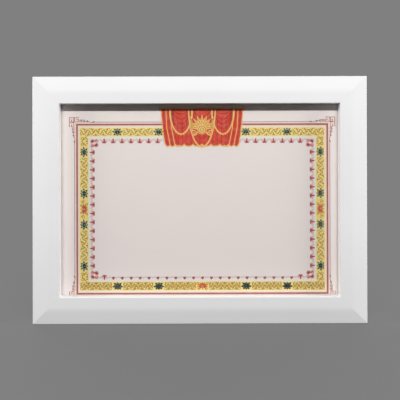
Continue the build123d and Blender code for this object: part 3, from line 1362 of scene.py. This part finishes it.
@dataclass
class Certificate:
    """The printed sheet: paper, ornamental border and festoon. Sizes are in millimetres.

    Pairs of half sizes are along x and y. Pairs on how the sides are filled are for the upright
    sides and for the level ones.
    """

    paper_thickness: float = 0.1
    print_middle: Point = (2.8, 118.0)
    red_line: Point = (131.5, 88.75)
    red_line_width: float = 1.65
    halo_width: float = 3.9
    thin_line_offset: float = 2.6
    thin_line_width: float = 0.5
    band_outer: Point = (128.5, 85.3)
    band_inner: Point = (119.7, 76.5)
    row_outer: Point = (117.9, 74.4)
    bud_row: Point = (115.5, 71.6)
    stem_row: Point = (116.3, 72.6)
    square: Point = (113.3, 69.2)
    bud_counts: tuple[int, int] = (14, 23)
    bud_pitches: Point = (9.165, 9.36)
    stem_gap: float = 3.2
    fan_places: tuple[Point, Point] = ((16.4, 59.9), (45.85, 89.1))
    fan_half_length: float = 6.0
    flower_half_length: float = 6.9
    least_panel: float = 8.0
    panel_end_gap: float = 0.2
    festoon_middle: Point = (-0.2, 105.6)
    bud: Bud = Bud()
    fan: LeafFan = LeafFan()
    # The bottom side is printed smaller than the others, and its gold panels are darker
    low_bud: Bud = Bud(height=2.9, half_width=1.6, petal_length=1.9, petal_width=1.2)
    low_bud_row: float = 72.6
    low_stem_row: float = 71.7
    low_fan: LeafFan = LeafFan(widen=1.18, spot_radius=0.32, boss_radius=0.4)
    low_panel_ink: Ink = Ink.OLD_GOLD
    low_panel_pitch: float = 3.7

    def paper(self, low: Vector, high: Vector) -> bpy.types.Object:
        """Cut the blank sheet.

        Args:
            low: its lowest corner, in metres.
            high: its highest corner.

        Returns:
            The sheet.
        """
        solid = bmesh.new()
        bmesh.ops.create_cube(solid, size=1)
        bmesh.ops.scale(solid, verts=solid.verts, vec=high - low)
        bmesh.ops.translate(solid, verts=solid.verts, vec=(low + high) / 2)
        return make_piece("certificate_paper", solid, CertificatePaper())

    def bands(self, press: PrintingPress) -> None:
        """Press the straight bands and lines that frame the text field.

        Args:
            press: takes the prints.
        """
        halo, half = self.halo_width / 2, self.red_line_width / 2
        marks = [
            surround(Ink.ROSE, wider(self.red_line, halo), wider(self.red_line, -halo)),
            surround(Ink.BRICK, wider(self.red_line, half), wider(self.red_line, -half)),
            surround(Ink.CREAM, wider(self.red_line, -half), self.band_outer),
            surround(Ink.LEMON, self.band_outer, self.band_inner),
            surround(Ink.PALE_GREEN, self.band_inner, self.row_outer),
        ]
        wide, tall = wider(self.red_line, self.thin_line_offset)
        end_x, end_y = (start + RunOut().neck_end for start in FretCorner().start)
        for side in (-1, 1):
            level = [(end_x - wide, side * tall), (wide - end_x, side * tall)]
            upright = [(side * wide, end_y - tall), (side * wide, tall - end_y)]
            marks += [line(Ink.TAUPE, run, self.thin_line_width) for run in (level, upright)]
        press.press(Motif(marks), Matrix())

    def band_middle(self, side: Side) -> float:
        """How far the middle of a side's gold band lies from the print's middle."""
        return (self.band_outer[side.axis] + self.band_inner[side.axis]) / 2

    def cell_half_length(self, side: Side) -> float:
        """Size the flower's cell, which fills the gap between the fans if no panel fits beside it.

        Args:
            side: the border's side.

        Returns:
            Half of the cell's length.
        """
        gap = self.fan_places[side.axis][0] - self.fan_half_length
        roomy = gap >= self.flower_half_length + self.least_panel
        return self.flower_half_length if roomy else gap

    def panels(self, press: PrintingPress) -> None:
        """Press the mirrored pairs of scroll panels of each side's gold band.

        Args:
            press: takes the prints.
        """
        reach = self.fan_half_length
        for side in Side:
            near, far = self.fan_places[side.axis]
            end = (self.band_inner[1], self.band_outer[0])[side.axis] - self.panel_end_gap
            runs = [(near + reach, far - reach), (far + reach, end)]
            runs.append((self.cell_half_length(side), near - reach))
            for start, stop in runs:
                # No room is left beside a flower's cell that takes the whole gap
                if stop <= start:
                    continue
                panel = ScrollPanel((stop - start) / 2)
                if side is Side.BOTTOM:
                    panel = ScrollPanel(panel.length, self.low_panel_ink, self.low_panel_pitch)
                motif, middle = Motif(panel.marks()), (start + stop) / 2
                for along in (-middle, middle):
                    for mirror in (-1, 1):
                        press.press_side(side, motif, along, self.band_middle(side), mirror)

    def flowers(self, press: PrintingPress) -> None:
        """Press the flower and the leaf fans of each side's gold band.

        Args:
            press: takes the prints.
        """
        for side in Side:
            out = self.band_middle(side)
            flower = OpenFlower(half_length=self.cell_half_length(side))
            press.press_side(side, Motif(flower.marks()), 0.0, out)
            fan = Motif((self.low_fan if side is Side.BOTTOM else self.fan).marks())
            near, far = self.fan_places[side.axis]
            for along in (-far, -near, near, far):
                press.press_side(side, fan, along, out)

    def bud_rows(self, press: PrintingPress) -> None:
        """Press the buds and stems inside the gold band, and the squares in their corners.

        Args:
            press: takes the prints.
        """
        bud, low_bud = Motif(self.bud.marks()), Motif(self.low_bud.marks())
        for side in Side:
            low = side is Side.BOTTOM
            count, pitch = self.bud_counts[side.axis], self.bud_pitches[side.axis]
            places = evenly(count, pitch)
            for place in places:
                # The outermost buds of the bottom are as large as those of the other sides
                if low and place not in (places[0], places[-1]):
                    press.press_side(side, low_bud, place, self.low_bud_row)
                else:
                    press.press_side(side, bud, place, self.bud_row[side.axis])
            stem = Motif(StemLink(pitch - self.stem_gap).marks())
            stem_row = self.low_stem_row if low else self.stem_row[side.axis]
            for place in evenly(count + 1, pitch):
                press.press_side(side, stem, place, stem_row)
        square = Motif(CornerSquare().marks())
        for right in (-1, 1):
            for up in (-1, 1):
                x, y = right * self.square[0], up * self.square[1]
                press.press(square, spot(x, y, flip_x=-right, flip_y=up))

    def frets(self, press: PrintingPress) -> None:
        """Press the four outer corner frets and the curled runs beside them.

        Args:
            press: takes the prints.
        """
        fret, curl = Motif(FretCorner().marks()), Motif(RunOut().marks())
        x, y = wider(self.red_line, self.thin_line_offset)
        start_x, start_y = FretCorner().start
        for right in (-1, 1):
            for up in (-1, 1):
                place = spot(right * x, up * y, flip_x=-right, flip_y=up)
                press.press(fret, place)
                press.press(curl, place @ spot(start_x, 0))
                press.press(curl, place @ spot(0, -start_y, turn=-90, flip_y=-1))

    def build(self) -> None:
        """Make the sheet with all its inks, and let it ride with the frame.

        The sheet is thinner than its solid, to leave the inks room in front of it.
        """
        low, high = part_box("certificate_sheet")
        face_y = high.y - self.paper_thickness * MM
        sheet = self.paper(Vector((low.x, face_y, low.z)), high)
        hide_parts("certificate_sheet")
        middle_x, middle_z = (c * MM for c in self.print_middle)
        press = PrintingPress(Vector((middle_x, face_y, middle_z)))
        for print_part in (self.bands, self.panels, self.flowers, self.bud_rows, self.frets):
            print_part(press)
        press.press(Motif(Festoon().marks()), spot(*self.festoon_middle))
        for piece in [sheet] + press.pieces():
            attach(piece, BODY)
            log.info("%s: %d faces", piece.name, len(piece.data.polygons))


@dataclass
class FramePieces:
    """The carried-over solids: moulding, glazing, packing and hardware."""

    nodes: dict[str, bpy.types.Object]
    slots: dict[str, str]

    def moulding(self) -> FoiledMoulding:
        """Place the foil's mitres and its bare back by the rails.

        Returns:
            The moulding's finish.
        """
        left_low, left_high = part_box("left_rail")
        top_low, top_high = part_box("top_rail")
        centre_z = (left_low.z + left_high.z) / 2
        return FoiledMoulding(
            centre_z=centre_z,
            sight_difference=-left_high.x - (top_low.z - centre_z),
            outer_halves=(-left_low.x, top_high.z - centre_z),
            back_y=left_high.y,
        )

    def finishes(self) -> dict[str, Finish]:
        """List the finish of each of the record's material slots.

        Returns:
            The finishes by slot.
        """
        return {
            "moulding": self.moulding(),
            "glass": PictureGlass(),
            # Stands for the sheet in the solids, and isn't shown
            "certificate_paper": CertificatePaper(),
            # Pressed grey board from waste paper: soft, flecked and matt
            "grey_card": Speckled(
                "grey_packing_card", "#A39C90", 0.92, second_colour="#8C867B", grain_mm=1.4
            ),
            # Medium density fibreboard, sanded: brown felted fibres with darker flecks
            "board": Speckled(
                "sanded_fibreboard", "#B4915F", 0.82, second_colour="#957248", grain_mm=1.6,
                cloud_mm=25.0, cloud_share=0.25, relief_mm=0.06, stretch=(0.6, 1.0, 1.0),
            ),
            # Zinc plated pressed steel: bright, cool and slightly cloudy
            "plated_steel": Speckled(
                "zinc_plated_strip", "#D3D5D6", 0.3, 1.0, second_colour="#BFC3C6", grain_mm=0.8,
                cloud_mm=6.0, relief_mm=0.006,
            ),
            # Zinc plated screws: as bright, with tumbling marks
            "screw_steel": Speckled(
                "zinc_plated_screw", "#CFD0CF", 0.34, 1.0, second_colour="#B4B6B8", grain_mm=0.5,
                cloud_mm=3.0, relief_mm=0.008,
            ),
            # Bare spring steel, oiled: darker and duller than the plated parts
            "nail_steel": Speckled(
                "bare_spring_steel", "#8A8C8F", 0.45, 1.0, second_colour="#6E7073", cloud_mm=4.0
            ),
            # Moulded natural rubber: matt black with a dusty bloom
            "bumper_rubber": Speckled(
                "black_rubber", "#242424", 0.8, second_colour="#343434", grain_mm=0.5, cloud_mm=5.0
            ),
        }

    def dress(self) -> None:
        """Give every carried-over solid the finish of its slot."""
        finishes = self.finishes()
        for name, node in sorted(self.nodes.items()):
            node.data.materials.clear()
            node.data.materials.append(finishes[self.slots[name]].material())
            log.info("%s: %s", name, self.slots[name])


@dataclass(frozen=True)
class Lamp:
    """A soft rectangular lamp that points at the object's middle. Sizes are in metres."""

    name: str
    place: Triple
    width: float
    height: float
    power: float
    aim: Triple = (0.0, 0.0, 0.128)

    def hang(self) -> None:
        """Hang the lamp, with its long side level."""
        data = bpy.data.lights.new(self.name, "AREA")
        data.shape = "RECTANGLE"
        data.size, data.size_y = self.width, self.height
        data.energy = self.power
        lamp = bpy.data.objects.new(self.name, data)
        lamp.visible_camera = False
        lamp.location = self.place
        away = Vector(self.place) - Vector(self.aim)
        lamp.rotation_euler = away.to_track_quat("Z", "Y").to_euler()
        bpy.context.scene.collection.objects.link(lamp)
        log.info("lamp %s: %g W", self.name, self.power)


@dataclass
class Studio:
    """Floor, backdrop, lamps and camera."""

    # The key strip, a low lamp at each side and two lamps behind
    lamps: tuple[Lamp, ...] = (
        Lamp("key_strip", (0.0, -1.25, 0.86), 1.0, 0.03, 15.4),
        Lamp("left_side", (-1.0, -0.25, 0.42), 0.3, 0.05, 6.2),
        Lamp("right_side", (1.0, -0.25, 0.42), 0.3, 0.05, 6.8),
        Lamp("rear_left", (-0.6, 1.1, 0.9), 0.8, 0.6, 10.6),
        Lamp("rear_right", (0.6, 1.1, 0.6), 0.8, 0.6, 8.6),
    )
    fill: float = 0.01
    floor_size: float = 3.0
    camera_place: Triple = (-0.015, -0.760, 0.178)
    pitch: float = 0.167
    yaw: float = 0.152
    roll: float = -0.145
    sensor_mm: float = 36.0
    image_px: float = 400.0
    focal_px: float = 726.3
    centre_px: Point = (187.2, 149.65)
    near_clip: float = 0.01

    def world(self) -> None:
        """Set plain grey for the eye and for mirrors, and a weak white fill for the light."""
        world = bpy.data.worlds.new("studio")
        bpy.context.scene.world = world
        world.use_nodes = True
        tree = world.node_tree
        tree.nodes.clear()
        fill_light = add_node(tree, "Background", {"Color": "#FFFFFF", "Strength": self.fill})
        grey = add_node(tree, "Background", {"Color": BACKDROP})
        mix = add_node(tree, "MixShader", {0: seen_ray(tree), 1: fill_light, 2: grey})
        add_node(tree, "OutputWorld", {"Surface": mix})

    def floor(self) -> None:
        """Lay the floor, level at the origin's height."""
        solid = bmesh.new()
        bmesh.ops.create_grid(solid, x_segments=1, y_segments=1, size=self.floor_size / 2)
        floor = make_piece("studio_floor", solid, StudioFloor())

    def camera(self) -> None:
        """Set the camera where the photograph was taken, with the photograph's framing."""
        data = bpy.data.cameras.new("camera")
        data.sensor_width = self.sensor_mm
        data.lens = self.focal_px * self.sensor_mm / self.image_px
        half = self.image_px / 2
        data.shift_x = (half - self.centre_px[0]) / self.image_px
        data.shift_y = (self.centre_px[1] - half) / self.image_px
        data.clip_start = self.near_clip
        camera = bpy.data.objects.new("camera", data)
        turn = Matrix.Rotation(math.radians(-self.yaw), 4, "Z")
        turn @= Matrix.Rotation(math.radians(90 + self.pitch), 4, "X")
        turn @= Matrix.Rotation(math.radians(self.roll), 4, "Z")
        camera.matrix_world = Matrix.Translation(self.camera_place) @ turn
        bpy.context.scene.collection.objects.link(camera)
        bpy.context.scene.camera = camera

    def build(self) -> None:
        """Set up the whole studio."""
        bpy.context.scene.view_settings.view_transform = "Standard"
        self.world()
        self.floor()
        self.camera()
        for lamp in self.lamps:
            lamp.hang()


def empty_scene() -> None:
    """Take away what a new Blender file holds."""
    for thing in list(bpy.data.objects):
        bpy.data.objects.remove(thing)


def main() -> None:
    """Build the object and its studio, in order."""
    logging.basicConfig(level=logging.INFO, format="%(name)s: %(message)s")
    empty_scene()
    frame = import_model()
    slots = {part["node"]: part["material_slot"] for part in frame["record"]["subparts"]}
    FramePieces(frame["nodes"], slots).dress()
    Certificate().build()
    Studio().build()


if __name__ == "__main__":
    main()
